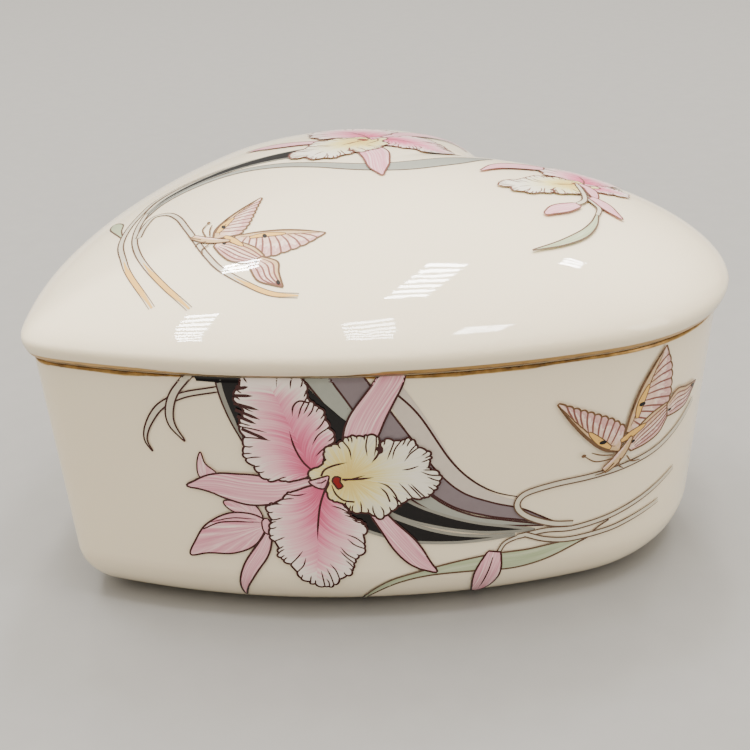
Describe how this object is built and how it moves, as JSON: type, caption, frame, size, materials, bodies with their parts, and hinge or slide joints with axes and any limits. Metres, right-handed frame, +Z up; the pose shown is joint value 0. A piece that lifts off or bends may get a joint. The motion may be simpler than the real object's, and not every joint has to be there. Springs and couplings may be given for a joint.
{
  "type": "trinket box",
  "caption": "Heart-shaped glazed porcelain trinket box with a puffed lift-off lid that locates on a flange inside the rim.",
  "frame": {"origin": "under the middle of the lid's outline, on the plane that the foot ring stands on", "axes": "+Z up, the heart's point towards -Y, its cleft towards +Y, +X to the right when the point faces the viewer"},
  "size_m": [0.111, 0.1022, 0.0577],
  "materials": {
    "porcelain_base": "glossy clear glaze",
    "porcelain_lid": "glossy clear glaze",
    "gilding": "burnished gold lustre, worn"
  },
  "bodies": {
    "base": {"box_body": "porcelain_base", "box_gilt_band": "gilding"},
    "cover": {"lid": "porcelain_lid", "lid_gilt_band": "gilding"}
  },
  "joints": [
    {"name": "lid_lift", "type": "slide", "parent": "base", "child": "cover", "axis": [0, 0, 1], "range_m": [0, 0.06]}
  ]
}
